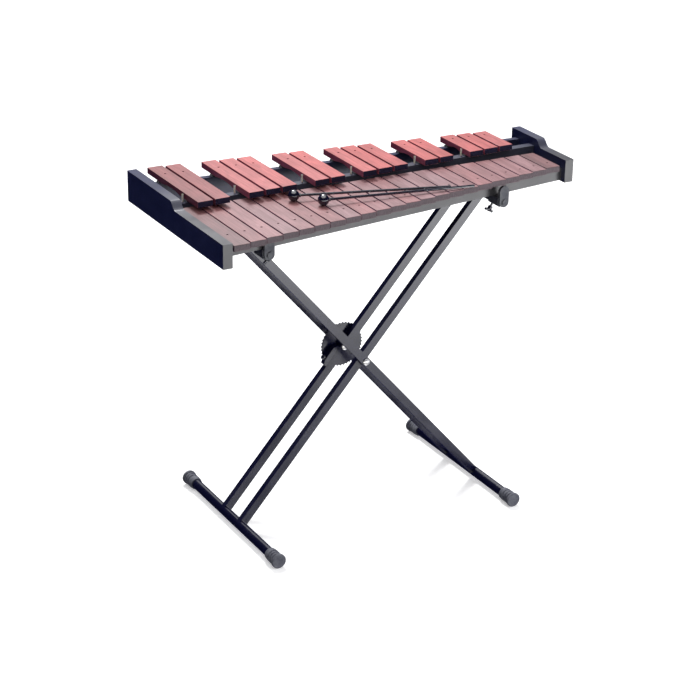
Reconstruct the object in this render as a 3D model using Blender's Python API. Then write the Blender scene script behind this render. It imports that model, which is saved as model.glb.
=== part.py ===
"""Thirty-seven bar xylophone on a folding double-braced stand, with two mallets.

X runs along the instrument (low notes at -X), Y away from the player, Z up, floor at z = 0.
All sizes are metres. Every object is one physical piece.
"""
import math

import bmesh
import bpy
from mathutils import Matrix, Vector

# ---------------------------------------------------------------- bars
NATURALS = 22
NATURAL_PITCH = 0.0385
NATURAL_FIRST_X = -0.4143
NATURAL_WIDTH = 0.0350
NATURAL_TOP = 0.7398
BAR_THICK = 0.0130
NATURAL_FRONT = (-0.2264, -0.1080)
NATURAL_BACK = (0.0160, -0.0050)
NATURAL_PIN_Y = (-0.1640, -0.0775)
NATURAL_POST_Y = (-0.0510, -0.0355)

SHARP_GAPS = (1, 2, 4, 5, 6, 8, 9, 11, 12, 13, 15, 16, 18, 19, 20)
SHARP_PITCH = 0.0392
SHARP_FIRST_X = -0.3930
SHARP_WIDTH = 0.0336
SHARP_TOP = 0.7605
SHARP_FRONT = (-0.0200, 0.0135)
SHARP_BACK = (0.2275, 0.1225)
SHARP_PIN_Y = (0.1735, 0.1000)
SHARP_POST_Y = (0.0390, 0.0355)

ARCH_RISE = 0.0042
BAR_HOLE_RADIUS = 0.0024
PIN_RADIUS = 0.0013
POST_RADIUS = 0.0012
SLEEVED_POST_RADIUS = 0.0014
SLEEVED_POST_OUT = 0.0040
LOW_POST_TOP = 0.7555
HOLE_SHIFT_FIRST = -0.0015
HOLE_SHIFT_STEP = 0.00095
HOLE_SHIFT_MOST = 0.0055
NATURAL_NOTES = ("C", "D", "E", "F", "G", "A", "B")
SHARP_NOTES = {1: "Cs", 2: "Ds", 4: "Fs", 5: "Gs", 6: "As"}

# ---------------------------------------------------------------- frame
FELT_GAP = 0.0035
RAIL_BOTTOM = 0.6970
RAIL_HALF = 0.0095
SLIM_RAIL_HALF = 0.0070
SLIM_RAIL_DROP = 0.0015
BOARD_BOTTOM = 0.6940
BOARD_LOW_TOP = 0.7450
BOARD_HIGH_TOP = 0.7615
BOARD_OUTER = 0.4560
BOARD_INNER = 0.4350
LEFT_BOARD_Y = (-0.2266, 0.2266)
RIGHT_BOARD_Y = (-0.0966, 0.1146)
LEFT_STEP_Y = (-0.0085, 0.0140)
RIGHT_STEP_Y = (-0.0025, 0.0200)
RAIL_JOINT = 0.0001

# ---------------------------------------------------------------- stand
PIVOT_X = -0.0364
HALF_SPAN = 0.2942
LEFT_X = PIVOT_X - HALF_SPAN
RIGHT_X = PIVOT_X + HALF_SPAN
FOOT_Z = 0.0158
ARM_RADIUS = 0.0105
ARM_Z = RAIL_BOTTOM - ARM_RADIUS - 0.0003
PIVOT_Z = (FOOT_Z + ARM_Z) / 2
FOOT_BAR_RADIUS = 0.0110
CAP_RADIUS = 0.0158
CAP_RIM_RADIUS = 0.0163
CAP_IN_Y = 0.1800
CAP_OUT_Y = 0.2210
CAP_GROOVES = 3
CAP_GROOVE_PITCH = 0.0085
FOOT_BAR_Y = 0.2140
TUBE_DEEP = 0.0185
TUBE_WIDE = 0.0140
TUBE_WALL = 0.0016
INNER_TUBE_Y = 0.0380
OUTER_TUBE_Y = 0.0560
LEFT_ARM_BACK_Y = 0.1880
RIGHT_ARM_BACK_Y = 0.1300
LEFT_LIP_Y = -0.1695
RIGHT_LIP_Y = -0.1185
LIP_THICK = 0.0070
LIP_HALF = 0.0115
LIP_RISE = 0.0245
LIP_SHIFT = 0.0015
BOSS_SHIFT = 0.0030
BOSS_RADIUS = 0.0070
BOSS_RISE = 0.0024
SADDLE_HALF = 0.0120
SADDLE_LENGTH = 0.0360
STUB_RADIUS = 0.0080
STUB_CLEAR = 0.0003
SCREW_FROM_LIP = 0.0270
SCREW_HOLE_RADIUS = 0.0030
SCREW_LEAN = math.radians(30)

DISC_RADIUS = 0.0515
DISC_TOOTH = 0.0022
DISC_TEETH = 40
DISC_Y = (0.0457, 0.0486)
BOLT_RADIUS = 0.0040
BOLT_HEAD_RADIUS = 0.0078
LEVER_HINGE_U = -0.0095
LEVER_HINGE_RISE = 0.0040

# ---------------------------------------------------------------- mallets
MALLET_RADIUS = 0.0122
HANDLE_RADIUS = 0.0029
MALLET_LENGTH = 0.3400
MALLET_1_XY = (-0.2085, -0.0500)
MALLET_2_XY = (-0.1671, -0.1010)
MALLET_1_TURN = math.radians(-12.9)
MALLET_2_TURN = math.radians(-7.2)
REST_GAP = 0.0003

COLOURS = {
    "rosewood": ((0.50, 0.16, 0.13, 1.0), 0.42, 0.0),
    "stained_wood": ((0.02, 0.022, 0.035, 1.0), 0.45, 0.0),
    "gloss_steel": ((0.012, 0.012, 0.014, 1.0), 0.25, 0.6),
    "rubber": ((0.03, 0.03, 0.032, 1.0), 0.8, 0.0),
    "bright_steel": ((0.62, 0.62, 0.64, 1.0), 0.28, 1.0),
    "moulded_plastic": ((0.03, 0.03, 0.034, 1.0), 0.5, 0.0),
    "black_plastic": ((0.010, 0.010, 0.012, 1.0), 0.3, 0.0),
}


def clear_scene():
    for obj in list(bpy.data.objects):
        bpy.data.objects.remove(obj, do_unlink=True)


def material(name, kind):
    colour, rough, metal = COLOURS[kind]
    mat = bpy.data.materials.new(name)
    mat.use_nodes = True
    shader = mat.node_tree.nodes["Principled BSDF"]
    shader.inputs["Base Color"].default_value = colour
    shader.inputs["Roughness"].default_value = rough
    shader.inputs["Metallic"].default_value = metal
    return mat


def new_object(name, mesh):
    obj = bpy.data.objects.new(name, mesh)
    bpy.context.collection.objects.link(obj)
    return obj


def prism(name, outline, axis, low, high):
    """A straight extrusion of a closed outline along one axis, from low to high."""
    order = {"X": (2, 0, 1), "Y": (0, 2, 1), "Z": (0, 1, 2)}[axis]
    mesh = bpy.data.meshes.new(name)
    bm = bmesh.new()
    rings = []
    for level in (low, high):
        ring = []
        for a, b in outline:
            triple = (a, b, level)
            ring.append(bm.verts.new([triple[i] for i in order]))
        rings.append(ring)
    count = len(outline)
    bm.faces.new(rings[0])
    bm.faces.new(rings[1])
    for i in range(count):
        j = (i + 1) % count
        bm.faces.new((rings[0][i], rings[0][j], rings[1][j], rings[1][i]))
    bmesh.ops.recalc_face_normals(bm, faces=bm.faces)
    bm.to_mesh(mesh)
    bm.free()
    return new_object(name, mesh)


def box(name, low, high):
    outline = [(low[0], low[1]), (high[0], low[1]), (high[0], high[1]), (low[0], high[1])]
    return prism(name, outline, "Z", low[2], high[2])


def rod(name, start, end, radius, sides=24, end_radius=None):
    """A round bar (or cone) between two points."""
    start = Vector(start)
    end = Vector(end)
    along = end - start
    turn = along.to_track_quat("Z", "X").to_matrix().to_4x4()
    mesh = bpy.data.meshes.new(name)
    bm = bmesh.new()
    bmesh.ops.create_cone(
        bm,
        cap_ends=True,
        segments=sides,
        radius1=radius,
        radius2=radius if end_radius is None else end_radius,
        depth=along.length,
        matrix=Matrix.Translation((start + end) / 2) @ turn,
    )
    bm.to_mesh(mesh)
    bm.free()
    return new_object(name, mesh)


def revolve(name, profile, start, direction, sides=32):
    """Turn (distance, radius) pairs about an axis; the first and last radii may be zero."""
    axis = Vector(direction).normalized()
    turn = axis.to_track_quat("Z", "X").to_matrix()
    mesh = bpy.data.meshes.new(name)
    bm = bmesh.new()
    rings = []
    for distance, radius in profile:
        if radius == 0:
            rings.append([bm.verts.new(Vector(start) + axis * distance)])
            continue
        ring = []
        for i in range(sides):
            angle = 2 * math.pi * i / sides
            local = Vector((radius * math.cos(angle), radius * math.sin(angle), distance))
            ring.append(bm.verts.new(Vector(start) + turn @ local))
        rings.append(ring)
    for lower, upper in zip(rings, rings[1:]):
        join_rings(bm, lower, upper, sides)
    for ring in (rings[0], rings[-1]):
        if len(ring) > 1:
            bm.faces.new(ring)
    bmesh.ops.recalc_face_normals(bm, faces=bm.faces)
    bm.to_mesh(mesh)
    bm.free()
    return new_object(name, mesh)


def join_rings(bm, lower, upper, sides):
    for i in range(sides):
        j = (i + 1) % sides
        if len(lower) == 1:
            bm.faces.new((lower[0], upper[i], upper[j]))
        elif len(upper) == 1:
            bm.faces.new((lower[i], lower[j], upper[0]))
        else:
            bm.faces.new((lower[i], lower[j], upper[j], upper[i]))


def boolean(target, tools, operation):
    """Combine the target with each tool in turn and keep the result as plain mesh."""
    for tool in tools:
        step = target.modifiers.new("step", "BOOLEAN")
        step.operation = operation
        step.solver = "EXACT"
        step.object = tool
        graph = bpy.context.evaluated_depsgraph_get()
        made = bpy.data.meshes.new_from_object(target.evaluated_get(graph))
        target.modifiers.clear()
        target.data = made
        bpy.data.objects.remove(tool, do_unlink=True)
    return target


def weld(target, tools):
    return boolean(target, tools, "UNION")


def cut(target, tools):
    return boolean(target, tools, "DIFFERENCE")


def finish(obj, kind, origin=(0.0, 0.0, 0.0)):
    """Tidy the mesh, put the object's origin on its joint axis, and give it its own material."""
    obj.data = obj.data.copy()
    bm = bmesh.new()
    bm.from_mesh(obj.data)
    bmesh.ops.remove_doubles(bm, verts=bm.verts, dist=1e-6)
    bmesh.ops.dissolve_degenerate(bm, edges=bm.edges, dist=1e-6)
    bm.to_mesh(obj.data)
    bm.free()
    obj.data.transform(Matrix.Translation(-Vector(origin)))
    obj.location = origin
    obj.data.name = obj.name
    obj.data.materials.clear()
    obj.data.materials.append(material("mat_" + obj.name, kind))
    return obj


def between(pair, share):
    return pair[0] + (pair[1] - pair[0]) * share


def natural_share(number):
    return (number - 1) / (NATURALS - 1)


def natural_x(number):
    return NATURAL_FIRST_X + (number - 1) * NATURAL_PITCH


def natural_pin_x(number):
    """The pins run out to the right of the bars' middles over the first octave."""
    shift = HOLE_SHIFT_FIRST + (number - 1) * HOLE_SHIFT_STEP
    return natural_x(number) + min(shift, HOLE_SHIFT_MOST)


def sharp_share(gap):
    return (gap - 1) / 19


def sharp_x(gap):
    return SHARP_FIRST_X + (gap - 1) * SHARP_PITCH


def bar(name, x, width, front, back, nodes, pin, top):
    """One bar: flat top, arched underside between its nodes, and one hole at its pin (x, y)."""
    bottom = top - BAR_THICK
    ease = 0.0006
    low, high = nodes
    inset = 0.16 * (high - low)
    arch_low = low + inset
    arch_high = high - inset
    outline = [(front, bottom + ease), (front + ease, bottom), (arch_low, bottom)]
    steps = 8
    for i in range(1, steps):
        share = i / steps
        rise = ARCH_RISE * math.sin(math.pi * share)
        outline.append((arch_low + (arch_high - arch_low) * share, bottom + rise))
    outline += [(arch_high, bottom), (back - ease, bottom), (back, bottom + ease)]
    outline += [(back, top - ease), (back - ease, top), (front + ease, top), (front, top - ease)]
    piece = prism(name, outline, "X", x - width / 2, x + width / 2)
    hole = rod("hole", (*pin, bottom - 0.005), (*pin, top + 0.005), BAR_HOLE_RADIUS, 12)
    cut(piece, [hole])
    return finish(piece, "rosewood")


def natural_bars():
    for number in range(1, NATURALS + 1):
        share = natural_share(number)
        octave, step = divmod(number - 1, 7)
        name = f"bar_{NATURAL_NOTES[step]}{5 + octave}"
        nodes = (between(NATURAL_PIN_Y, share), between(NATURAL_POST_Y, share))
        bar(
            name,
            natural_x(number),
            NATURAL_WIDTH,
            between(NATURAL_FRONT, share),
            between(NATURAL_BACK, share),
            nodes,
            (natural_pin_x(number), nodes[0]),
            NATURAL_TOP,
        )


def sharp_bars():
    for gap in SHARP_GAPS:
        share = sharp_share(gap)
        octave, step = divmod(gap - 1, 7)
        name = f"bar_{SHARP_NOTES[step + 1]}{5 + octave}"
        nodes = (between(SHARP_POST_Y, share), between(SHARP_PIN_Y, share))
        bar(
            name,
            sharp_x(gap),
            SHARP_WIDTH,
            between(SHARP_FRONT, share),
            between(SHARP_BACK, share),
            nodes,
            (sharp_x(gap), nodes[1]),
            SHARP_TOP,
        )


def line_through(x_low, y_low, x_high, y_high, x):
    return y_low + (y_high - y_low) * (x - x_low) / (x_high - x_low)


def natural_line(pair, x):
    return line_through(natural_x(1), pair[0], natural_x(NATURALS), pair[1], x)


def sharp_line(pair, x):
    return line_through(sharp_x(1), pair[0], sharp_x(20), pair[1], x)


def rail(name, line, pair, half, top, uprights):
    """A straight rail under one nodal line, with its upright (x, y, radius, top) pins fixed in it."""
    left = -BOARD_INNER + RAIL_JOINT
    right = BOARD_INNER - RAIL_JOINT
    y_left = line(pair, left)
    y_right = line(pair, right)
    outline = [
        (left, y_left - half),
        (right, y_right - half),
        (right, y_right + half),
        (left, y_left + half),
    ]
    piece = prism(name, outline, "Z", RAIL_BOTTOM, top)
    tools = []
    for x, y, radius, height in uprights:
        tools.append(rod("upright", (x, y, top - 0.006), (x, y, height), radius, 6))
    weld(piece, tools)
    return finish(piece, "stained_wood")


def post_positions(centres, pitch):
    """Half a pitch either side of every bar, without repeats."""
    places = []
    for centre in centres:
        for x in (centre - pitch / 2, centre + pitch / 2):
            if not any(abs(x - other) < pitch / 4 for other in places):
                places.append(x)
    return places


def sharp_front_posts():
    """Low posts between the raised bars, and a tall sleeved one at the left of each group."""
    posts = []
    for gap in SHARP_GAPS:
        right = sharp_x(gap) + SHARP_PITCH / 2
        posts.append((right, POST_RADIUS, LOW_POST_TOP))
        if gap - 1 not in SHARP_GAPS:
            left = sharp_x(gap) - SHARP_PITCH / 2 - SLEEVED_POST_OUT
            posts.append((left, SLEEVED_POST_RADIUS, SHARP_TOP + 0.0005))
    return [(x, sharp_line(SHARP_POST_Y, x), radius, top) for x, radius, top in posts]


def rails():
    natural_rail_top = NATURAL_TOP - BAR_THICK - FELT_GAP
    sharp_rail_top = SHARP_TOP - BAR_THICK - FELT_GAP
    pins = []
    for number in range(1, NATURALS + 1):
        y = between(NATURAL_PIN_Y, natural_share(number))
        pins.append((natural_pin_x(number), y, PIN_RADIUS, NATURAL_TOP - 0.0035))
    rail("natural_front_rail", natural_line, NATURAL_PIN_Y, RAIL_HALF, natural_rail_top, pins)
    posts = []
    for x in post_positions([natural_x(n) for n in range(1, NATURALS + 1)], NATURAL_PITCH):
        posts.append((x, natural_line(NATURAL_POST_Y, x), POST_RADIUS, NATURAL_TOP - 0.0005))
    rail("natural_back_rail", natural_line, NATURAL_POST_Y, RAIL_HALF, natural_rail_top, posts)
    posts = sharp_front_posts()
    rail("sharp_front_rail", sharp_line, SHARP_POST_Y, RAIL_HALF, sharp_rail_top, posts)
    pins = []
    for gap in SHARP_GAPS:
        y = between(SHARP_PIN_Y, sharp_share(gap))
        pins.append((sharp_x(gap), y, PIN_RADIUS, SHARP_TOP - 0.0035))
    slim_top = sharp_rail_top - SLIM_RAIL_DROP
    rail("sharp_back_rail", sharp_line, SHARP_PIN_Y, SLIM_RAIL_HALF, slim_top, pins)


def end_board(name, x_low, x_high, reach, step):
    """An end board: high at the back, an S-shaped step, lower at the front."""
    front, back = reach
    outline = [(front, BOARD_BOTTOM), (back, BOARD_BOTTOM), (back, BOARD_HIGH_TOP)]
    steps = 10
    for i in range(steps + 1):
        share = i / steps
        fall = (1 - math.cos(math.pi * share)) / 2
        y = step[1] + (step[0] - step[1]) * share
        outline.append((y, BOARD_HIGH_TOP + (BOARD_LOW_TOP - BOARD_HIGH_TOP) * fall))
    outline.append((front, BOARD_LOW_TOP))
    return finish(prism(name, outline, "X", x_low, x_high), "stained_wood")


def end_boards():
    end_board("left_end_board", -BOARD_OUTER, -BOARD_INNER, LEFT_BOARD_Y, LEFT_STEP_Y)
    end_board("right_end_board", BOARD_INNER, BOARD_OUTER, RIGHT_BOARD_Y, RIGHT_STEP_Y)


def leg_directions(foot_x, arm_x):
    """Unit vectors along a leg (upwards) and square to it in the folding plane."""
    along = Vector((arm_x - foot_x, 0.0, ARM_Z - FOOT_Z)).normalized()
    square = Vector((-along.z, 0.0, along.x))
    return along, square


def leg_tube(name, foot_x, arm_x, y, deep, wide, trim):
    """A rectangular tube blank from foot bar axis to arm axis, shortened by trim at both ends."""
    along, square = leg_directions(foot_x, arm_x)
    start = Vector((foot_x, 0.0, FOOT_Z)) + along * trim
    end = Vector((arm_x, 0.0, ARM_Z)) - along * trim
    corners = [
        start - square * deep / 2,
        end - square * deep / 2,
        end + square * deep / 2,
        start + square * deep / 2,
    ]
    outline = [(p.x, p.z) for p in corners]
    return prism(name, outline, "Y", y - wide / 2, y + wide / 2)


def cross_rod(name, x, z, low_y, high_y, radius, sides=24):
    """A round bar along Y."""
    return rod(name, (x, low_y, z), (x, high_y, z), radius, sides)


def leg_frame(name, foot_x, arm_x, tube_y, lip_y, arm_back, bolt_hole):
    """One welded leg frame: foot bar, two tubes, and an arm with a stub; hollow right through."""
    bore = 2 * TUBE_WALL
    arm_front = lip_y + SADDLE_LENGTH + 0.0005
    stub_front = lip_y + 0.0020
    frame = cross_rod(name, foot_x, FOOT_Z, -FOOT_BAR_Y, FOOT_BAR_Y, FOOT_BAR_RADIUS)
    solids = [
        cross_rod("arm", arm_x, ARM_Z, arm_front, arm_back, ARM_RADIUS),
        cross_rod("stub", arm_x, ARM_Z, stub_front, arm_front + 0.01, STUB_RADIUS),
    ]
    cores = [
        cross_rod("core", foot_x, FOOT_Z, -0.25, 0.25, FOOT_BAR_RADIUS - TUBE_WALL),
        cross_rod("core", arm_x, ARM_Z, arm_front + 0.003, arm_back + 0.01, ARM_RADIUS - TUBE_WALL),
        cross_rod("core", arm_x, ARM_Z, stub_front - 0.01, arm_front + 0.01, STUB_RADIUS - TUBE_WALL),
    ]
    for y in (-tube_y, tube_y):
        solids.append(leg_tube("tube", foot_x, arm_x, y, TUBE_DEEP, TUBE_WIDE, 0.002))
        cores.append(
            leg_tube("core", foot_x, arm_x, y, TUBE_DEEP - bore, TUBE_WIDE - bore, 0.004)
        )
    weld(frame, solids)
    cut(frame, cores)
    holes = []
    for y in (-tube_y, tube_y):
        low = (PIVOT_X, y - TUBE_WIDE, PIVOT_Z)
        high = (PIVOT_X, y + TUBE_WIDE, PIVOT_Z)
        holes.append(rod("bolt_hole", low, high, bolt_hole, 20))
    cut(frame, holes)
    return finish(frame, "gloss_steel", (foot_x, 0.0, FOOT_Z))


def foot_cap(name, x, side):
    """A ribbed rubber cap over one end of a foot bar, with a small flat to stand on."""
    profile = [(CAP_OUT_Y, 0), (CAP_OUT_Y, CAP_RIM_RADIUS - 0.0012)]
    profile += [(CAP_OUT_Y - 0.0012, CAP_RIM_RADIUS), (CAP_OUT_Y - 0.0060, CAP_RIM_RADIUS)]
    for groove in range(CAP_GROOVES):
        position = CAP_OUT_Y - 0.0070 - groove * CAP_GROOVE_PITCH
        profile.append((position, CAP_RADIUS - 0.0028))
        profile.append((position - 0.0030, CAP_RADIUS - 0.0028))
        profile.append((position - 0.0038, CAP_RADIUS - 0.0012))
        profile.append((position - 0.0070, CAP_RADIUS - 0.0012))
    profile += [(CAP_IN_Y, CAP_RADIUS - 0.0024), (CAP_IN_Y, 0)]
    cap = revolve(name, profile, (x, 0.0, FOOT_Z), (0.0, side, 0.0), 24)
    bore_end = side * (FOOT_BAR_Y + 0.0003)
    bore = rod(
        "bore",
        (x, side * (CAP_IN_Y - 0.01), FOOT_Z),
        (x, bore_end, FOOT_Z),
        FOOT_BAR_RADIUS + 0.0002,
        24,
    )
    flat = box("flat", (x - 0.05, -0.3, -0.05), (x + 0.05, 0.3, 0.0))
    cut(cap, [bore, flat])
    return finish(cap, "rubber", (x, 0.0, FOOT_Z))


def half_circle(x, z, radius, start, steps=12):
    points = []
    for i in range(steps + 1):
        angle = start + math.pi * i / steps
        points.append((x + radius * math.cos(angle), z + radius * math.sin(angle)))
    return points


def screw_direction(lean):
    """Down from a stop's block, leaning in the folding plane."""
    return Vector((math.sin(lean), 0.0, -math.cos(lean)))


def stop(name, arm_x, lip_y, lean):
    """An arm-end stop: a block turning on the arm's stub, and an upright lip with a round boss."""
    corner = 0.004
    low = ARM_Z - ARM_RADIUS
    top = ARM_Z + ARM_RADIUS - 0.0003
    outline = [
        (arm_x - SADDLE_HALF, low + corner),
        (arm_x - SADDLE_HALF + corner, low),
        (arm_x + SADDLE_HALF - corner, low),
        (arm_x + SADDLE_HALF, low + corner),
        (arm_x + SADDLE_HALF, top),
        (arm_x - SADDLE_HALF, top),
    ]
    piece = prism(name, outline, "Y", lip_y - 0.002, lip_y + SADDLE_LENGTH)
    capsule = half_circle(arm_x + LIP_SHIFT, ARM_Z + LIP_RISE, LIP_HALF, 0.0)
    capsule += half_circle(arm_x + LIP_SHIFT, ARM_Z, LIP_HALF, math.pi)
    plate = prism("plate", capsule, "Y", lip_y - LIP_THICK, lip_y)
    face = lip_y - LIP_THICK
    boss_x = arm_x + BOSS_SHIFT
    boss = cross_rod("boss", boss_x, ARM_Z, face - BOSS_RISE, face + 0.002, BOSS_RADIUS)
    weld(piece, [plate, boss])
    bore_radius = STUB_RADIUS + STUB_CLEAR
    bore = cross_rod("bore", arm_x, ARM_Z, lip_y + 0.0015, lip_y + SADDLE_LENGTH + 0.01, bore_radius)
    centre = Vector((arm_x, lip_y + SCREW_FROM_LIP, ARM_Z))
    end = centre + screw_direction(lean) * 0.03
    screw_hole = rod("screw_hole", centre, end, SCREW_HOLE_RADIUS, 16)
    cut(piece, [bore, screw_hole])
    return finish(piece, "moulded_plastic", (arm_x, 0.0, ARM_Z))


def thumbscrew(name, arm_x, lip_y, lean):
    """A clamp screw with a short wing knob, threaded up into the underside of a stop's block."""
    down = screw_direction(lean)
    across = Vector((down.z, 0.0, -down.x))
    centre = Vector((arm_x, lip_y + SCREW_FROM_LIP, ARM_Z))
    tip = STUB_RADIUS + 0.0004
    profile = [(tip, 0), (tip, 0.0024), (0.0188, 0.0024), (0.0192, 0.0050), (0.0250, 0.0050)]
    profile += [(0.0256, 0.0038), (0.0264, 0.0050), (0.0296, 0.0045), (0.0316, 0.0030), (0.0322, 0)]
    shaft = revolve(name, profile, centre, down, 16)
    wings = []
    for sign in (-1, 1):
        root = centre + down * 0.0278 + across * sign * 0.002
        far = centre + down * 0.0294 + across * sign * 0.0105
        wings.append(rod("wing", root, far, 0.0034, 12, 0.0028))
    weld(shaft, wings)
    return finish(shaft, "black_plastic", centre + down * 0.02)


def ball(name, centre, radius, sides, rings):
    profile = [(-radius, 0)]
    for i in range(1, rings):
        angle = -math.pi / 2 + math.pi * i / rings
        profile.append((radius * math.sin(angle), radius * math.cos(angle)))
    profile.append((radius, 0))
    return revolve(name, profile, centre, (0.31, 0.23, 1.0), sides)


def lock_disc():
    """The toothed height-lock disc, fixed to the outer leg behind the rear inner tube."""
    outline = []
    for i in range(DISC_TEETH):
        base = 2 * math.pi * i / DISC_TEETH
        pitch = 2 * math.pi / DISC_TEETH
        for share, radius in (
            (0.00, DISC_RADIUS - DISC_TOOTH),
            (0.42, DISC_RADIUS - DISC_TOOTH),
            (0.56, DISC_RADIUS),
            (0.86, DISC_RADIUS),
        ):
            angle = base + share * pitch
            outline.append((PIVOT_X + radius * math.cos(angle), PIVOT_Z + radius * math.sin(angle)))
    disc = prism("lock_disc", outline, "Y", DISC_Y[0], DISC_Y[1])
    low = (PIVOT_X, DISC_Y[0] - 0.01, PIVOT_Z)
    high = (PIVOT_X, DISC_Y[1] + 0.01, PIVOT_Z)
    cut(disc, [rod("bore", low, high, BOLT_RADIUS + 0.0002, 24)])
    return finish(disc, "gloss_steel", (PIVOT_X, 0.0, PIVOT_Z))


def pivot_bolt(name, inner_end, outer_end, head_at_outer):
    """A pivot bolt with a domed head at one end and a hexagon nut at the other."""
    side = 1 if outer_end > inner_end else -1
    start = (PIVOT_X, inner_end - side * 0.0045, PIVOT_Z)
    end = (PIVOT_X, outer_end + side * 0.0030, PIVOT_Z)
    bolt = rod(name, start, end, BOLT_RADIUS, 20)
    dome = [(0.0003, 0), (0.0003, BOLT_HEAD_RADIUS), (0.0020, BOLT_HEAD_RADIUS)]
    dome += [(0.0036, BOLT_HEAD_RADIUS * 0.8), (0.0046, BOLT_HEAD_RADIUS * 0.45), (0.0050, 0)]
    head_y, head_dir = (outer_end, side) if head_at_outer else (inner_end, -side)
    nut_y, nut_dir = (inner_end, -side) if head_at_outer else (outer_end, side)
    head = revolve("head", dome, (PIVOT_X, head_y, PIVOT_Z), (0.0, head_dir, 0.0), 24)
    nut = rod(
        "nut",
        (PIVOT_X, nut_y + nut_dir * 0.0003, PIVOT_Z),
        (PIVOT_X, nut_y + nut_dir * 0.0052, PIVOT_Z),
        0.0072,
        6,
    )
    weld(bolt, [head, nut])
    return finish(bolt, "bright_steel", (PIVOT_X, 0.0, PIVOT_Z))


def lock_trigger():
    """The spring-loaded release lever on the rear inner tube, hinged at its upper end.

    Lifting its lower end swings the pawl away from the disc's rim.
    """
    along, square = leg_directions(LEFT_X, RIGHT_X)
    pivot = Vector((PIVOT_X, 0.0, PIVOT_Z))

    def at(u, n):
        point = pivot + along * u + square * n
        return (point.x, point.z)

    base = TUBE_DEEP / 2 + 0.0005
    body = [
        at(-0.0600, base),
        at(-0.0085, base),
        at(-0.0085, base + 0.0070),
        at(-0.0160, base + 0.0125),
        at(-0.0500, base + 0.0125),
        at(-0.0600, base + 0.0080),
    ]
    housing = prism("lock_trigger", body, "Y", INNER_TUBE_Y - 0.0070, INNER_TUBE_Y + 0.0060)
    finger = [
        at(-0.0590, base + 0.0005),
        at(-0.0530, base + 0.0005),
        at(-0.0521, -0.0010),
        at(-0.0545, -0.0045),
        at(-0.0575, -0.0040),
        at(-0.0590, 0.0040),
    ]
    web = [
        at(-0.0590, base + 0.0005),
        at(-0.0530, base + 0.0005),
        at(-0.0530, base + 0.0060),
        at(-0.0590, base + 0.0060),
    ]
    pawl = prism("pawl", finger, "Y", 0.0457, 0.0484)
    bridge = prism("bridge", web, "Y", INNER_TUBE_Y, 0.0484)
    knob_root = pivot + along * -0.0465 + square * (base + 0.0100)
    knob_root.y = INNER_TUBE_Y
    knob = revolve(
        "knob",
        [
            (0.0, 0),
            (0.0, 0.0032),
            (0.0045, 0.0032),
            (0.0052, 0.0058),
            (0.0085, 0.0058),
            (0.0100, 0.0040),
            (0.0104, 0),
        ],
        knob_root,
        square,
        16,
    )
    weld(housing, [bridge, pawl, knob])
    hinge = pivot + along * LEVER_HINGE_U + square * (base + LEVER_HINGE_RISE)
    return finish(housing, "black_plastic", (hinge.x, INNER_TUBE_Y, hinge.z))


def mallet(name, centre_xy, turn):
    """A mallet resting on the bars: round head in front, thin handle sloping down to the bars."""
    head_z = NATURAL_TOP + REST_GAP + MALLET_RADIUS
    tail_z = NATURAL_TOP + REST_GAP + HANDLE_RADIUS + 0.0002
    centre = Vector((centre_xy[0], centre_xy[1], head_z))
    flat = Vector((math.cos(turn), math.sin(turn), 0.0))
    tail = centre + flat * MALLET_LENGTH
    tail.z = tail_z
    direction = (tail - centre).normalized()
    head = ball(name, centre, MALLET_RADIUS, 20, 12)
    length = (tail - centre).length
    handle = revolve(
        "handle",
        [
            (0.0, 0),
            (0.0, HANDLE_RADIUS),
            (length - 0.0015, HANDLE_RADIUS),
            (length - 0.0004, HANDLE_RADIUS * 0.7),
            (length, 0),
        ],
        centre,
        direction,
        10,
    )
    ferrule = revolve(
        "ferrule",
        [(0.0, 0), (0.0, 0.0048), (MALLET_RADIUS + 0.0022, 0.0044), (MALLET_RADIUS + 0.0032, 0)],
        centre,
        direction,
        12,
    )
    weld(head, [ferrule, handle])
    return finish(head, "black_plastic", centre)


def stand():
    loose = BOLT_RADIUS + 0.0004
    snug = BOLT_RADIUS + 0.0002
    inner = (LEFT_X, RIGHT_X, INNER_TUBE_Y, RIGHT_LIP_Y, RIGHT_ARM_BACK_Y, loose)
    outer = (RIGHT_X, LEFT_X, OUTER_TUBE_Y, LEFT_LIP_Y, LEFT_ARM_BACK_Y, snug)
    leg_frame("inner_leg_frame", *inner)
    leg_frame("outer_leg_frame", *outer)
    foot_cap("left_front_foot_cap", LEFT_X, -1)
    foot_cap("left_rear_foot_cap", LEFT_X, 1)
    foot_cap("right_front_foot_cap", RIGHT_X, -1)
    foot_cap("right_rear_foot_cap", RIGHT_X, 1)
    stop("left_front_stop", LEFT_X, LEFT_LIP_Y, SCREW_LEAN)
    stop("right_front_stop", RIGHT_X, RIGHT_LIP_Y, -SCREW_LEAN)
    thumbscrew("left_thumbscrew", LEFT_X, LEFT_LIP_Y, SCREW_LEAN)
    thumbscrew("right_thumbscrew", RIGHT_X, RIGHT_LIP_Y, -SCREW_LEAN)
    lock_disc()
    inner_face = INNER_TUBE_Y - TUBE_WIDE / 2
    outer_face = OUTER_TUBE_Y + TUBE_WIDE / 2
    pivot_bolt("near_pivot_bolt", -inner_face, -outer_face, True)
    pivot_bolt("far_pivot_bolt", inner_face, outer_face, False)
    lock_trigger()


def main():
    clear_scene()
    end_boards()
    rails()
    natural_bars()
    sharp_bars()
    stand()
    mallet("mallet_1", MALLET_1_XY, MALLET_1_TURN)
    mallet("mallet_2", MALLET_2_XY, MALLET_2_TURN)


main()
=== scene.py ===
"""The finished look of the folding-stand xylophone: materials, small fittings, light and camera.

X runs along the instrument, low notes at -X; the player stands at -Y; Z is up; metres throughout.
"""

import math
import random

import bmesh
import bpy
from mathutils import Matrix, Vector


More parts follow.
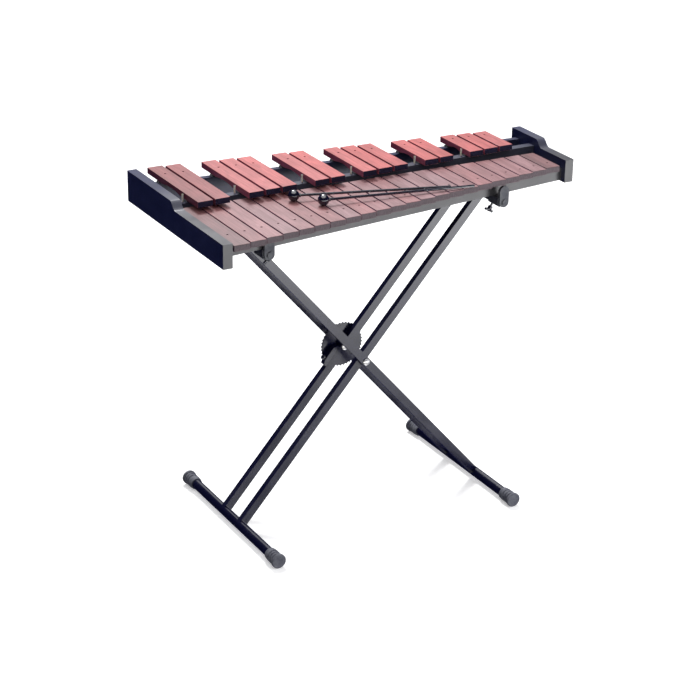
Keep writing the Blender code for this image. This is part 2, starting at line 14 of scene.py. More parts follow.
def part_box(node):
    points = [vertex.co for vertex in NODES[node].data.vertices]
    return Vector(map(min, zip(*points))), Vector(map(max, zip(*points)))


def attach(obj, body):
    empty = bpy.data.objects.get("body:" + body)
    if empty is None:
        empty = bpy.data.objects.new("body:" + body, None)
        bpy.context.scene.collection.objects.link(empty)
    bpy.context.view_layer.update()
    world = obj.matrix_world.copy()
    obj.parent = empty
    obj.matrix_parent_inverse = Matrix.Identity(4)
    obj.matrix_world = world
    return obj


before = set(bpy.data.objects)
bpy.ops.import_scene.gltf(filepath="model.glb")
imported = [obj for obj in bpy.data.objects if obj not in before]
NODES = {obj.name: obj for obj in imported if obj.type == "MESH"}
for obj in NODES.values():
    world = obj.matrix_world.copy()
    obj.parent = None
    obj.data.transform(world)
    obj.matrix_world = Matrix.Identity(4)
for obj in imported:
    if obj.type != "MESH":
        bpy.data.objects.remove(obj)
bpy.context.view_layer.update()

# ---------------------------------------------------------------- camera
CAMERA_PLACE = (-2.0471, -3.4967, 2.1099)
CAMERA_AZIMUTH = math.radians(29.836)
CAMERA_ELEVATION = math.radians(23.521)
CAMERA_ROLL = math.radians(0.907)
CAMERA_LENS = 103.87

# ---------------------------------------------------------------- light
KEY_PLACE = (0.45, 1.90, 3.20)
KEY_SIZE = (0.9, 0.9)
KEY_POWER = 95.0
LOW_PLACE = (1.75, -1.75, 0.36)
LOW_TARGET = (0.0, -0.1, 0.60)
LOW_SIZE = (0.9, 0.5)
LOW_POWER = 34.0
AIM = (0.0, 0.0, 0.7)
FLOOR_REACH = 14.0
# Pale areas that reflections find, as spans of direction (x, y or z of a unit vector) and strengths.
BACK_LOW, BACK_HIGH = 0.22, 1.10
BACK_X, BACK_Y = (0.0, 0.35), (0.25, 0.65)
BACK_RISE, BACK_STEP = (0.0, 0.25), (0.31, 0.42)
FRONT_LOW, FRONT_HIGH = 0.45, 4.80
FRONT_Y = (-0.30, -0.65)
FRONT_STEP, FRONT_TOP = (-0.43, -0.32), (0.06, -0.04)
CEILING_GLOW, FLOOR_GLOW = 4.0, 2.5
CEILING_SPAN, FLOOR_SPAN = (0.72, 0.92), (-0.80, -0.95)
WALL_COLOUR = (0.010, 0.012, 0.050)
# What soft light finds instead: walls below, ceiling above.
WALL_FILL, CEILING_FILL = 0.08, 0.85
FILL_SPAN = (-0.05, 0.55)
FILL_COLOUR = (1.00, 1.00, 1.02)

# ---------------------------------------------------------------- fittings
WELD_DISTANCE = 0.00001
END_FACE = 0.00005
SHARP_ANGLE = math.radians(32)
BAR_BEVEL = 0.0009
BOARD_BEVEL = 0.0014
STOP_BEVEL = 0.0008
SLEEVE_RADIUS = 0.0020
SLEEVE_BORE = 0.0016
TALL_POST = 0.7580
POST_SPACING = 0.0040
FELT_HALF = 0.0065
FELT_CLEAR = 0.0003
FELT_STEP = 0.0120
FELT_WOBBLES = ((0.0002, 1.7), (0.0001, 4.1))
GROUP_GAP = 0.0500
PLUG_RADIUS = 0.0102
PLUG_NECK = 0.0086
PLUG_SEARCH = 0.0040
ARM_RADIUS = 0.0105

# Wood: painted shade darkening the bar sides, paler rings on bar ends, painted shade darkening single
# bars, and where in y the boards turn greyer with painted sheen, and glossier, towards the front.
PAINTED_SIDE_SHADE = (0.50, 0.42, 0.80)
SHEEN_RAMP_FROM, SHEEN_RAMP_TO = 0.10, -0.06
END_VARIATION = 1.8
PAINTED_SHADE_BARS = {"bar_C5": 0.62, "bar_Cs5": 0.44, "bar_Ds5": 0.62, "bar_C8": 0.58}

NATURAL_BARS = sorted(
    (n for n in NODES if n.startswith("bar_") and "s" not in n), key=lambda n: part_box(n)[0].x
)
SHARP_BARS = sorted(
    (n for n in NODES if n.startswith("bar_") and "s" in n), key=lambda n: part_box(n)[0].x
)


# ================================================================ shader helpers
class Graph:
    """A node tree, with short calls for the nodes that are put in it."""

    def __init__(self, tree):
        self.tree = tree

    def node(self, kind):
        return self.tree.nodes.new(kind)

    def link(self, source, target):
        """Joins two sockets, or sets the target where the source is a plain value."""
        if hasattr(source, "is_output"):
            self.tree.links.new(source, target)
        else:
            target.default_value = source

    def maths(self, operation, a, b=0.0):
        node = self.node("ShaderNodeMath")
        node.operation = operation
        self.link(a, node.inputs[0])
        self.link(b, node.inputs[1])
        return node.outputs[0]

    def mix(self, share, a, b, blend="MIX"):
        node = self.node("ShaderNodeMix")
        node.data_type = "RGBA"
        node.blend_type = blend
        self.link(share, node.inputs["Factor"])
        for value, socket in ((a, node.inputs["A"]), (b, node.inputs["B"])):
            self.link(value if hasattr(value, "is_output") else (*value, 1), socket)
        return node.outputs["Result"]

    def spread(self, value, start, end, low=0.0, high=1.0, easing="SMOOTHSTEP"):
        """Low at the start of a range and high at its end, which may run downward."""
        if start > end:
            start, end, low, high = end, start, high, low
        node = self.node("ShaderNodeMapRange")
        node.interpolation_type = easing
        self.link(value, node.inputs["Value"])
        ends = {"From Min": start, "From Max": end, "To Min": low, "To Max": high}
        for name, limit in ends.items():
            node.inputs[name].default_value = limit
        return node.outputs["Result"]


class Paint(Graph):
    """One material, with short calls for the patterns that it is made of."""

    def __init__(self, name, **sockets):
        self.material = bpy.data.materials.new(name)
        self.material.use_nodes = True
        super().__init__(self.material.node_tree)
        self.tree.nodes.clear()
        self.shader = self.node("ShaderNodeBsdfPrincipled")
        output = self.node("ShaderNodeOutputMaterial")
        self.link(self.shader.outputs["BSDF"], output.inputs["Surface"])
        for socket, value in sockets.items():
            self.shader.inputs[socket.replace("_", " ")].default_value = value

    def space(self, scale=(1, 1, 1), shift=None):
        """Object coordinates, stretched by scale, and moved by shift for each object."""
        coords = self.node("ShaderNodeTexCoord").outputs["Object"]
        mapping = self.node("ShaderNodeMapping")
        self.link(coords, mapping.inputs["Vector"])
        mapping.inputs["Scale"].default_value = scale
        if shift is not None:
            self.link(shift, mapping.inputs["Location"])
        return mapping.outputs["Vector"]

    def noise(self, vector, scale, detail=3.0, rough=0.55, distortion=0.0):
        node = self.node("ShaderNodeTexNoise")
        self.link(vector, node.inputs["Vector"])
        node.inputs["Scale"].default_value = scale
        node.inputs["Detail"].default_value = detail
        node.inputs["Roughness"].default_value = rough
        node.inputs["Distortion"].default_value = distortion
        return node.outputs["Fac"]

    def ramp(self, value, *stops):
        """Maps value through (position, grey) stops."""
        node = self.node("ShaderNodeValToRGB")
        self.link(value, node.inputs["Fac"])
        elements = node.color_ramp.elements
        while len(elements) < len(stops):
            elements.new(0.5)
        for element, (place, grey) in zip(elements, stops):
            element.position = place
            element.color = (grey, grey, grey, 1)
        return node.outputs["Color"]

    def patches(self, pattern, reach, under, over, most=1.0):
        """The over colour where the pattern is high, the under colour where it is low."""
        return self.mix(self.ramp(pattern, (reach[0], 0), (reach[1], most)), under, over)

    def parts_of(self, kind):
        """The x, y and z of the object's own coordinates or normal."""
        parts = self.node("ShaderNodeSeparateXYZ")
        self.link(self.node("ShaderNodeTexCoord").outputs[kind], parts.inputs[0])
        return parts.outputs

    def facing(self, axis, low, high):
        """0 to 1 as the object's own normal turns towards the axis (0 x, 1 y, 2 z), either way."""
        size = self.maths("ABSOLUTE", self.parts_of("Normal")[axis])
        return self.ramp(size, (low, 0), (high, 1))

    def upward(self, low, high):
        """0 to 1 as the object's own normal turns upward."""
        return self.ramp(self.parts_of("Normal")[2], (low, 0), (high, 1))

    def frontward(self):
        """0 at the back of the instrument to 1 at its front, along y."""
        return self.spread(self.parts_of("Object")[1], SHEEN_RAMP_FROM, SHEEN_RAMP_TO, easing="LINEAR")

    def object_colour(self):
        """Each object's own colour, which holds its tone, seed and brightness."""
        info = self.node("ShaderNodeObjectInfo")
        parts = self.node("ShaderNodeSeparateColor")
        self.link(info.outputs["Color"], parts.inputs[0])
        return parts.outputs

    def bump(self, height, distance, strength=1.0, under=None):
        node = self.node("ShaderNodeBump")
        node.inputs["Strength"].default_value = strength
        node.inputs["Distance"].default_value = distance
        self.link(height, node.inputs["Height"])
        if under is not None:
            self.link(under, node.inputs["Normal"])
        return node.outputs["Normal"]

    def finish(self, colour=None, roughness=None, normal=None):
        for name, value in (("Base Color", colour), ("Roughness", roughness), ("Normal", normal)):
            if value is not None:
                self.link(value, self.shader.inputs[name])
        return self.material


# ================================================================ materials
def rosewood(name, pale, red, dark, end_tint_and_shade, end_rough):
    """Reddish hardwood with its grain along Y; each bar's tone and seed come from its object colour."""
    paint = Paint(name, IOR=1.48, Coat_Weight=0.15, Coat_Roughness=0.32)
    tone, seed, bright = paint.object_colour()[:3]
    shift = paint.node("ShaderNodeCombineXYZ")
    for axis, factor in enumerate((9.0, 5.0, 3.0)):
        paint.link(paint.maths("MULTIPLY", seed, factor), shift.inputs[axis])
    grain_space = paint.space((1.0, 0.055, 1.0), shift.outputs[0])
    figure_space = paint.space((1.0, 0.22, 1.0), shift.outputs[0])
    streaks = paint.noise(grain_space, 260, 5.0, 0.62, 0.25)
    bands = paint.noise(figure_space, 46, 3.0, 0.5, 0.9)
    pores = paint.ramp(paint.noise(grain_space, 1500, 2.0, 0.5), (0.56, 0), (0.70, 1))
    cloud = paint.noise(paint.space(shift=shift.outputs[0]), 9, 2.0)

    base = paint.mix(tone, pale, red)
    base = paint.mix(paint.ramp(bands, (0.35, 0.55), (0.66, 0.0)), base, dark)
    base = paint.mix(paint.ramp(streaks, (0.30, 0.45), (0.62, 0.0)), base, dark)
    base = paint.mix(paint.maths("MULTIPLY", pores, 0.38), base, dark)
    light = paint.ramp(cloud, (0.30, 0.86), (0.70, 1.0))
    base = paint.mix(1.0, base, light, "MULTIPLY")
    toned = paint.node("ShaderNodeHueSaturation")
    toned.inputs["Fac"].default_value = 1.0
    paint.link(bright, toned.inputs["Value"])
    paint.link(base, toned.inputs["Color"])
    face = toned.outputs["Color"]

    rings = paint.noise(paint.space((1.0, 1.0, 0.35), shift.outputs[0]), 420, 4.0, 0.6)
    pith = tuple(channel * END_VARIATION for channel in end_tint_and_shade)
    # End faces: end grain on the natural bars, painted shade (near-black navy) on the sharp bars.
    end_grain_and_shade = paint.mix(paint.ramp(rings, (0.3, 1.0), (0.7, 0.0)), end_tint_and_shade, pith)
    ends = paint.facing(1, 0.70, 0.92)
    # Painted shade: faces turned along x are multiplied darker and bluer, for the shade on the bar
    # sides.
    shaded_sides = paint.mix(1.0, face, PAINTED_SIDE_SHADE, "MULTIPLY")
    colour = paint.mix(paint.facing(0, 0.70, 0.95), face, shaded_sides)
    colour = paint.mix(ends, colour, end_grain_and_shade)
    rough = paint.ramp(streaks, (0.3, 0.46), (0.7, 0.34))
    rough = paint.mix(ends, rough, (end_rough, end_rough, end_rough))
    normal = paint.bump(pores, 0.00025, -0.35)
    normal = paint.bump(streaks, 0.00022, 0.30, normal)
    return paint.finish(colour, rough, normal)


def stained_wood():
    """Black-stained wood with a navy cast, with painted sheen greying its tops and its end faces
    towards the front.
    """
    paint = Paint("stained_wood", IOR=1.5, Coat_Weight=0.2, Coat_Roughness=0.30)
    long_grain = paint.noise(paint.space((0.06, 1.0, 1.0)), 240, 5.0, 0.6)
    cross_grain = paint.noise(paint.space((0.08, 0.08, 1.0)), 300, 5.0, 0.6)
    mottle = paint.noise(paint.space(), 28, 4.0, 0.6)
    grain = paint.maths("MULTIPLY", long_grain, cross_grain)
    front = paint.frontward()
    tops = paint.upward(0.45, 0.9)

    colour = paint.patches(mottle, (0.35, 0.70), (0.0075, 0.0100, 0.052), (0.0150, 0.0190, 0.070))
    colour = paint.mix(paint.ramp(grain, (0.18, 0.5), (0.36, 0.0)), colour, (0.004, 0.005, 0.020))
    # Painted sheen: the tops turn grey towards the front.
    top_sheen = paint.patches(mottle, (0.30, 0.70), (0.010, 0.010, 0.018), (0.040, 0.040, 0.046))
    colour = paint.mix(paint.maths("MULTIPLY", tops, front), colour, top_sheen)
    # Painted sheen: the end faces turn grey towards the front.
    front_end_sheen = paint.maths("MULTIPLY", paint.facing(1, 0.70, 0.92), front)
    colour = paint.mix(front_end_sheen, colour, (0.085, 0.085, 0.090))

    paint.link(paint.ramp(front, (0.0, 0.05), (1.0, 0.22)), paint.shader.inputs["Coat Weight"])
    rough = paint.ramp(mottle, (0.3, 0.30), (0.7, 0.42))
    rear_top = paint.maths("MULTIPLY", tops, paint.maths("SUBTRACT", 1.0, front))
    rough = paint.mix(rear_top, rough, (0.72, 0.72, 0.72))
    return paint.finish(colour, rough, paint.bump(grain, 0.0004, 0.30))


def gloss_steel():
    """Gloss black paint on steel, with a faint orange-peel surface and specks of dust."""
    paint = Paint("gloss_steel", IOR=1.50, Coat_Weight=0.5, Coat_Roughness=0.06)
    peel = paint.noise(paint.space(), 420, 3.0, 0.5)
    smear = paint.noise(paint.space((0.5, 0.5, 0.5)), 24, 5.0, 0.62)
    dust = paint.noise(paint.space(), 1900, 2.0, 0.6)
    deep, worn = (0.0022, 0.0023, 0.016), (0.0050, 0.0052, 0.024)
    colour = paint.patches(smear, (0.4, 0.75), deep, worn, 0.7)
    colour = paint.patches(dust, (0.72, 0.80), colour, (0.10, 0.10, 0.11), 0.12)
    rough = paint.ramp(smear, (0.3, 0.14), (0.7, 0.30))
    return paint.finish(colour, rough, paint.bump(peel, 0.0002, 0.10))


def rubber():
    """Dull dark grey rubber with a bloom of dust."""
    paint = Paint("rubber", IOR=1.46)
    mottle = paint.noise(paint.space(), 60, 5.0, 0.65)
    grit = paint.noise(paint.space(), 1400, 3.0, 0.6)
    colour = paint.patches(mottle, (0.35, 0.7), (0.055, 0.057, 0.080), (0.150, 0.155, 0.180))
    rough = paint.ramp(grit, (0.3, 0.56), (0.7, 0.74))
    return paint.finish(colour, rough, paint.bump(grit, 0.0003, 0.25))


def bright_steel():
    """Zinc-plated steel with fine turning marks and a slight blue-yellow cast."""
    paint = Paint("bright_steel", Metallic=0.45)
    marks = paint.noise(paint.space((1.0, 0.1, 1.0)), 2600, 2.0)
    cast = paint.noise(paint.space(), 90, 3.0)
    colour = paint.patches(cast, (0.35, 0.65), (0.72, 0.73, 0.78), (0.88, 0.86, 0.80))
    rough = paint.ramp(marks, (0.3, 0.20), (0.7, 0.36))
    return paint.finish(colour, rough, paint.bump(marks, 0.0001, 0.2))


def moulded_plastic():
    """Dark grey moulded nylon with a spark-eroded texture."""
    paint = Paint("moulded_plastic", IOR=1.5)
    texture = paint.noise(paint.space(), 1500, 3.0, 0.6)
    mottle = paint.noise(paint.space(), 70, 4.0, 0.6)
    colour = paint.patches(mottle, (0.35, 0.7), (0.045, 0.048, 0.062), (0.120, 0.126, 0.138))
    rough = paint.ramp(texture, (0.3, 0.42), (0.7, 0.58))
    return paint.finish(colour, rough, paint.bump(texture, 0.0002, 0.3))


def black_plastic():
    """Hard gloss black plastic with faint handling marks."""
    paint = Paint("black_plastic", IOR=1.52, Coat_Weight=0.6, Coat_Roughness=0.08)
    smear = paint.noise(paint.space(), 110, 4.0, 0.6)
    fine = paint.noise(paint.space(), 900, 2.0)
    colour = paint.patches(smear, (0.4, 0.7), (0.0022, 0.0022, 0.014), (0.0050, 0.0050, 0.022))
    rough = paint.ramp(smear, (0.3, 0.14), (0.7, 0.26))
    return paint.finish(colour, rough, paint.bump(fine, 0.0001, 0.12))


def felt():
    """Dense charcoal felt with loose fibres."""
    paint = Paint("felt", Sheen_Weight=0.5, Sheen_Roughness=0.5)
    fibres = paint.noise(paint.space((0.35, 1.0, 1.0)), 2200, 4.0, 0.7, 1.2)
    tufts = paint.noise(paint.space(), 320, 4.0, 0.6)
    colour = paint.patches(fibres, (0.35, 0.7), (0.010, 0.010, 0.018), (0.040, 0.041, 0.052))
    rough = paint.ramp(tufts, (0.3, 0.86), (0.7, 0.97))
    height = paint.maths("MULTIPLY", fibres, tufts)
    return paint.finish(colour, rough, paint.bump(height, 0.0010, 0.8))


def sleeve_plastic():
    """Slightly yellowed white tubing."""
    paint = Paint("sleeve_plastic", IOR=1.48, Subsurface_Weight=0.15, Subsurface_Scale=0.002)
    mottle = paint.noise(paint.space((1.0, 1.0, 0.3)), 500, 3.0)
    colour = paint.patches(mottle, (0.35, 0.65), (0.56, 0.50, 0.40), (0.78, 0.74, 0.66))
    rough = paint.ramp(mottle, (0.3, 0.34), (0.7, 0.50))
    return paint.finish(colour, rough, paint.bump(mottle, 0.0001, 0.2))


def floor_paint():
    """Matt white studio paper with the slightest tooth."""
    white = (1.0, 1.0, 1.0, 1.0)
    paint = Paint("studio_floor", Emission_Color=white, Emission_Strength=0.30)
    tooth = paint.noise(paint.space(), 300, 2.0)
    colour = paint.mix(tooth, (0.90, 0.90, 0.90), (0.93, 0.93, 0.93))
    rough = paint.ramp(tooth, (0.3, 0.78), (0.7, 0.9))
    return paint.finish(colour, rough, paint.bump(tooth, 0.0002, 0.1))


# ================================================================ mesh helpers
def shading_group():
    """Geometry nodes that join the faces' split corners and smooth all but the sharp edges."""
    group = bpy.data.node_groups.new("joined_shading", "GeometryNodeTree")
    for way in ("INPUT", "OUTPUT"):
        group.interface.new_socket("Geometry", in_out=way, socket_type="NodeSocketGeometry")
    start = group.nodes.new("NodeGroupInput")
    merge = group.nodes.new("GeometryNodeMergeByDistance")
    merge.inputs["Distance"].default_value = WELD_DISTANCE
    drop = group.nodes.new("GeometryNodeRemoveAttribute")
    drop.inputs["Name"].default_value = "custom_normal"
    faces = group.nodes.new("GeometryNodeSetShadeSmooth")
    faces.domain = "FACE"
    angle = group.nodes.new("GeometryNodeInputMeshEdgeAngle")
    sharp = group.nodes.new("FunctionNodeCompare")
    sharp.data_type = "FLOAT"
    sharp.operation = "GREATER_THAN"
    sharp.inputs[1].default_value = SHARP_ANGLE
    edges = group.nodes.new("GeometryNodeSetShadeSmooth")
    edges.domain = "EDGE"
    smooth = group.nodes.new("FunctionNodeBooleanMath")
    smooth.operation = "NOT"
    end = group.nodes.new("NodeGroupOutput")
    link = group.links.new
    link(start.outputs[0], merge.inputs["Geometry"])
    link(merge.outputs["Geometry"], drop.inputs["Geometry"])
    link(drop.outputs["Geometry"], faces.inputs["Geometry"])
    link(angle.outputs["Unsigned Angle"], sharp.inputs[0])
    link(sharp.outputs["Result"], smooth.inputs[0])
    link(faces.outputs["Geometry"], edges.inputs["Geometry"])
    link(smooth.outputs["Boolean"], edges.inputs["Shade Smooth"])
    link(edges.outputs["Geometry"], end.inputs[0])
    return group


def dress(node, material, group, bevel=0.0, segments=2):
    """Gives a CAD node its finish, and rounds its edges where the real one is eased."""
    obj = NODES[node]
    obj.data.materials.clear()
    obj.data.materials.append(material)
    joined = obj.modifiers.new("joined", "NODES")
    joined.node_group = group
    if bevel:
        eased = obj.modifiers.new("eased", "BEVEL")
        eased.width = bevel
        eased.segments = segments
        eased.limit_method = "ANGLE"
        eased.angle_limit = SHARP_ANGLE
        eased.use_clamp_overlap = True
        eased.harden_normals = False
        flat = obj.modifiers.new("flat_faces", "WEIGHTED_NORMAL")
        flat.keep_sharp = True
        flat.weight = 60
    return obj


def mesh_object(name, verts, faces, material, body, slot=None):
    """A new piece from its points and faces, smoothed up to the sharp angle."""
    data = bpy.data.meshes.new(name)
    data.from_pydata([tuple(v) for v in verts], [], faces)
    work = bmesh.new()
    work.from_mesh(data)
    bmesh.ops.recalc_face_normals(work, faces=work.faces)
    work.to_mesh(data)
    work.free()
    data.shade_smooth()
    data.set_sharp_from_angle(angle=SHARP_ANGLE)
    data.materials.append(material)
    obj = bpy.data.objects.new(name, data)
    bpy.context.scene.collection.objects.link(obj)
    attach(obj, body)
    return obj


def lathe(profile, base, direction, sides):
    """Points and faces of a profile of (height, radius) turned about a line; zero radii close it."""
    axis = Vector(direction).normalized()
    across = axis.orthogonal().normalized()
    other = axis.cross(across)
    verts, rings = [], []
    for height, radius in profile:
        centre = Vector(base) + axis * height
        if radius <= 0:
            rings.append([len(verts)])
            verts.append(centre)
            continue
        rings.append(list(range(len(verts), len(verts) + sides)))
        for i in range(sides):
            turn = 2 * math.pi * i / sides
            verts.append(centre + (across * math.cos(turn) + other * math.sin(turn)) * radius)
    faces = []
    for low, high in zip(rings, rings[1:]):
        for i in range(sides):
            j = (i + 1) % sides
            if len(low) == 1 and len(high) == 1:
                continue
            if len(low) == 1:
                faces.append((low[0], high[j], high[i]))
            elif len(high) == 1:
                faces.append((low[i], low[j], high[0]))
            else:
                faces.append((low[i], low[j], high[j], high[i]))
    return verts, faces


def merge_parts(parts):
    """Several (verts, faces) as one."""
    verts, faces = [], []
    for part_verts, part_faces in parts:
        start = len(verts)
        verts += part_verts
        faces += [tuple(i + start for i in face) for face in part_faces]
    return verts, faces


def end_middle(node, side):
    """The middle in y, and the top, of a rail's end face at its low (0) or high (1) end in x."""
    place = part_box(node)[side].x
    ring = [v.co for v in NODES[node].data.vertices if abs(v.co.x - place) < END_FACE]
    ys = [c.y for c in ring]
    return Vector((place, (min(ys) + max(ys)) / 2, max(c.z for c in ring)))


def post_places(node, above):
    """The (x, y, top) of each nail standing on a rail, found from the points above a height."""
    tall = sorted((v.co.x, v.co.y, v.co.z) for v in NODES[node].data.vertices if v.co.z > above)
    groups = []
    for point in tall:
        if not groups or point[0] - groups[-1][-1][0] > POST_SPACING:
            groups.append([])
        groups[-1].append(point)
    places = []
    for group in groups:
        xs, ys, zs = zip(*group)
        places.append(((min(xs) + max(xs)) / 2, (min(ys) + max(ys)) / 2, max(zs)))
    return places


# ================================================================ pieces
def bars(group):
    """Bars of both rows, each with its own tone and grain."""
    natural_wood = rosewood(
        "natural_rosewood",
        pale=(0.40, 0.245, 0.262),
        red=(0.42, 0.165, 0.165),
        dark=(0.150, 0.062, 0.066),
        end_tint_and_shade=(0.070, 0.052, 0.060),
        end_rough=0.62,
    )
    sharp_wood = rosewood(
        "sharp_rosewood",
        pale=(0.62, 0.180, 0.178),
        red=(0.64, 0.135, 0.125),
        dark=(0.26, 0.050, 0.050),
        # Painted shade: the sharp bars' end faces are near-black navy, for the shade their front ends
        # stand in.
        end_tint_and_shade=(0.0022, 0.0014, 0.018),
        end_rough=0.95,
    )
    rng = random.Random(22)
    for names, wood in ((NATURAL_BARS, natural_wood), (SHARP_BARS, sharp_wood)):
        for name in names:
            obj = dress(name, wood, group, BAR_BEVEL)
            tone, seed = rng.uniform(0.0, 0.8), rng.random()
            # Painted shade: the listed bars' brightness is lowered on top of the random spread.
            bright = PAINTED_SHADE_BARS.get(name, 1.0) * rng.uniform(0.90, 1.08)
            obj.color = (tone, seed, bright, 1.0)


def bar_groups(bars):
    """The (left, right) reach in x of each run of neighbouring bars."""
    spans = []
    for name in bars:
        low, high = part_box(name)
        if spans and low.x - spans[-1][1] < GROUP_GAP / 2:
            spans[-1][1] = high.x
        else:
            spans.append([low.x, high.x])
    return spans


def felt_strip(left, right, span, height):
    """Points and faces of one domed strip between two places along a rail's top."""
    half = [(1.0, 0.0), (1.0, 0.55), (0.75, 0.9)]
    shares = [(-across, up) for across, up in half] + [(0.0, 1.0)] + half[::-1]
    profile = [(across * FELT_HALF, up * height) for across, up in shares]
    steps = max(4, round((span[1] - span[0]) / FELT_STEP))
    verts, faces = [], []
    for i in range(steps + 1):
        x = span[0] + (span[1] - span[0]) * i / steps
        centre = left.lerp(right, (x - left.x) / (right.x - left.x))
        wobble = sum(size * math.sin(i * rate) for size, rate in FELT_WOBBLES)
        for across, up in profile:
            verts.append(centre + Vector((0.0, across + wobble, FELT_CLEAR / 3 + up)))
    n = len(profile)
    for i in range(steps):
        for j in range(n):
            k = (j + 1) % n
            faces.append((i * n + j, i * n + k, (i + 1) * n + k, (i + 1) * n + j))
    faces.append(tuple(range(n)))
    faces.append(tuple(steps * n + j for j in range(n)))
    return verts, faces


def felts(material):
    """Strips of felt under the bars, along the top of each rail."""
    for row, names in (("natural", NATURAL_BARS), ("sharp", SHARP_BARS)):
        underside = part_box(names[0])[0].z
        for place in ("front", "back"):
            rail = f"{row}_{place}_rail"
            left, right = end_middle(rail, 0), end_middle(rail, 1)
            height = underside - left.z - FELT_CLEAR * 2
            strips = [felt_strip(left, right, span, height) for span in bar_groups(names)]
            mesh_object(rail + "_felt", *merge_parts(strips), material, "xylophone")


def sleeves(material):
    """White tubing over the tall nail at the left of each group of raised bars."""
    rail_top = end_middle("sharp_front_rail", 0).z
    parts = []
    for x, y, top in post_places("sharp_front_rail", TALL_POST):
        low, high = rail_top + 0.0005, top + 0.0002
        profile = [
            (0.0, SLEEVE_BORE), (0.0, SLEEVE_RADIUS), (high - low - 0.0004, SLEEVE_RADIUS),
            (high - low, SLEEVE_RADIUS - 0.0003), (high - low, SLEEVE_BORE), (0.0, SLEEVE_BORE),
        ]
        parts.append(lathe(profile, (x, y, low), (0, 0, 1), 14))
    mesh_object("nail_sleeves", *merge_parts(parts), material, "xylophone")


def arm_plugs(material):
    """A domed plug in the open back end of each arm."""
    for frame_node, body in (("outer_leg_frame", "outer_legs"), ("inner_leg_frame", "inner_legs")):
        low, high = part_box(frame_node)
        points = [v.co for v in NODES[frame_node].data.vertices if v.co.z > high.z - PLUG_SEARCH]
        back = max(p.y for p in points)
        ring = [p.x for p in points if p.y > back - END_FACE]
        centre = ((min(ring) + max(ring)) / 2, back, high.z - ARM_RADIUS)
        profile = [
            (-0.0100, 0.0), (-0.0100, PLUG_NECK), (0.0002, PLUG_NECK), (0.0002, PLUG_RADIUS),
            (0.0014, PLUG_RADIUS), (0.0024, PLUG_RADIUS * 0.8), (0.0030, 0.0),
        ]
        mesh_object(frame_node + "_plug", *lathe(profile, centre, (0, 1, 0), 28), material, body)


def main():
    group = shading_group()
    wood = stained_wood()
    steel = gloss_steel()
    black = black_plastic()
    grey = moulded_plastic()
    zinc = bright_steel()
    caps = rubber()
    bars(group)
    for node in ("left_end_board", "right_end_board"):
        dress(node, wood, group, BOARD_BEVEL, 3)
    for node in ("natural_front_rail", "natural_back_rail", "sharp_front_rail", "sharp_back_rail"):
        dress(node, wood, group)
    for node in ("inner_leg_frame", "outer_leg_frame", "lock_disc"):
        dress(node, steel, group)
    for node in ("lock_trigger", "left_thumbscrew", "right_thumbscrew", "mallet_1", "mallet_2"):
        dress(node, black, group)
    for node in ("left_front_stop", "right_front_stop"):
        dress(node, grey, group, STOP_BEVEL)
    for node in ("near_pivot_bolt", "far_pivot_bolt"):
        dress(node, zinc, group)
    for node in NODES:
        if node.endswith("foot_cap"):
            dress(node, caps, group)
    felts(felt())
    sleeves(sleeve_plastic())
    arm_plugs(black)


# ================================================================ studio
def studio():
    """A white floor, a soft overhead light from behind, and a low light at the front right.

    The floor takes no part in reflections or bounced light, and the low light isn't reflected.
    """
    data = bpy.data.meshes.new("floor")
    far = FLOOR_REACH
    corners = [(-far, -far, 0), (far, -far, 0), (far, far, 0), (-far, far, 0)]
    data.from_pydata(corners, [], [(0, 1, 2, 3)])
    data.materials.append(floor_paint())
    floor = bpy.data.objects.new("floor", data)
    bpy.context.scene.collection.objects.link(floor)
    floor.visible_glossy = False
    floor.visible_diffuse = False
    surroundings()
    panel("key", KEY_PLACE, AIM, KEY_SIZE, KEY_POWER)
    low = panel("low_front", LOW_PLACE, LOW_TARGET, LOW_SIZE, LOW_POWER)
    low.visible_glossy = False


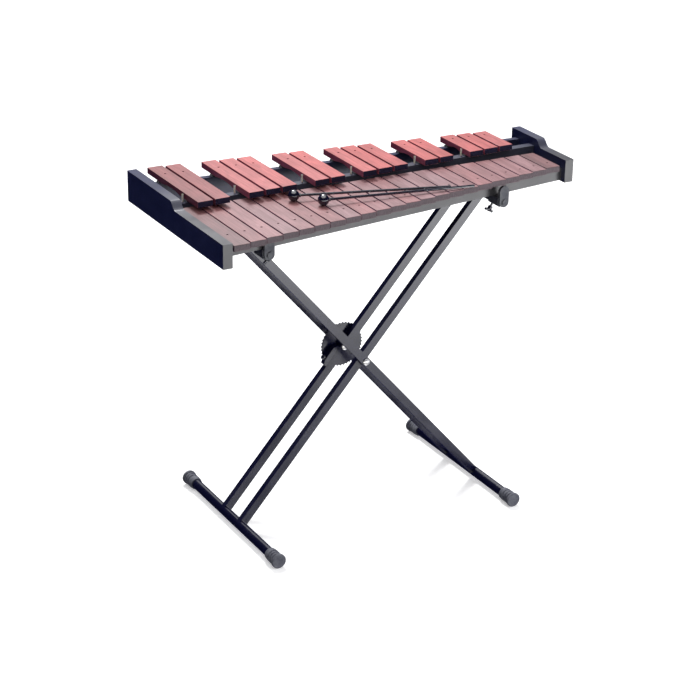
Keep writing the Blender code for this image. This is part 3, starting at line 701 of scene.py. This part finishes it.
def surroundings():
    """White to the camera, navy walls with pale areas to reflections, a pale ceiling to soft light."""
    world = bpy.data.worlds.new("studio")
    world.use_nodes = True
    graph = Graph(world.node_tree)
    shader = graph.tree.nodes["Background"]
    bpy.context.scene.world = world
    parts = graph.node("ShaderNodeSeparateXYZ")
    graph.link(graph.node("ShaderNodeTexCoord").outputs["Generated"], parts.inputs[0])
    x, y, z = parts.outputs[:3]
    rays = graph.node("ShaderNodeLightPath").outputs

    def product(first, *others):
        for other in others:
            first = graph.maths("MULTIPLY", first, other)
        return first

    behind = product(
        graph.spread(y, *BACK_Y),
        graph.spread(z, *BACK_STEP, BACK_LOW, BACK_HIGH),
        graph.spread(z, *BACK_RISE),
        graph.spread(x, *BACK_X),
    )
    front = product(
        graph.spread(y, *FRONT_Y),
        graph.spread(z, *FRONT_STEP, FRONT_LOW, FRONT_HIGH),
        graph.spread(z, *FRONT_TOP),
    )
    overhead = graph.spread(z, *CEILING_SPAN, 0.0, CEILING_GLOW)
    underfoot = graph.spread(z, *FLOOR_SPAN, 0.0, FLOOR_GLOW)
    glow = graph.maths("ADD", behind, front)
    glow = graph.maths("ADD", glow, graph.maths("ADD", overhead, underfoot))
    reflected = graph.node("ShaderNodeCombineColor")
    for channel, dark in zip(reflected.inputs, WALL_COLOUR):
        graph.link(graph.maths("ADD", glow, dark), channel)
    above = graph.spread(z, *FILL_SPAN, WALL_FILL, CEILING_FILL)
    fill = graph.node("ShaderNodeCombineColor")
    for channel, share in zip(fill.inputs, FILL_COLOUR):
        graph.link(product(above, share), channel)
    seen = graph.mix(rays["Is Glossy Ray"], fill.outputs[0], reflected.outputs[0])
    seen = graph.mix(rays["Is Camera Ray"], seen, (1.0, 1.0, 1.0))
    graph.link(seen, shader.inputs["Color"])
    shader.inputs["Strength"].default_value = 1.0


def panel(name, place, target, size, power):
    """A soft rectangular light aimed at a point."""
    data = bpy.data.lights.new(name, "AREA")
    data.shape = "RECTANGLE"
    data.size, data.size_y = size
    data.energy = power
    light = bpy.data.objects.new(name, data)
    light.location = place
    light.rotation_euler = (Vector(target) - Vector(place)).to_track_quat("-Z", "Y").to_euler()
    light.visible_camera = False
    bpy.context.scene.collection.objects.link(light)
    return light


def camera():
    """A long lens at the player's left, looking down on the bars."""
    data = bpy.data.cameras.new("camera")
    data.sensor_width = 36.0
    data.lens = CAMERA_LENS
    data.clip_start, data.clip_end = 0.05, 60.0
    forward = Vector((
        math.sin(CAMERA_AZIMUTH) * math.cos(CAMERA_ELEVATION),
        math.cos(CAMERA_AZIMUTH) * math.cos(CAMERA_ELEVATION),
        -math.sin(CAMERA_ELEVATION),
    ))
    level = forward.cross(Vector((0, 0, 1))).normalized()
    upright = level.cross(forward)
    right = level * math.cos(CAMERA_ROLL) + upright * math.sin(CAMERA_ROLL)
    up = right.cross(forward)
    turn = Matrix((right, up, -forward)).transposed()
    obj = bpy.data.objects.new("camera", data)
    obj.matrix_world = Matrix.Translation(CAMERA_PLACE) @ turn.to_4x4()
    bpy.context.scene.collection.objects.link(obj)
    bpy.context.scene.camera = obj
    bpy.context.scene.view_settings.view_transform = "Standard"


camera()
main()
studio()
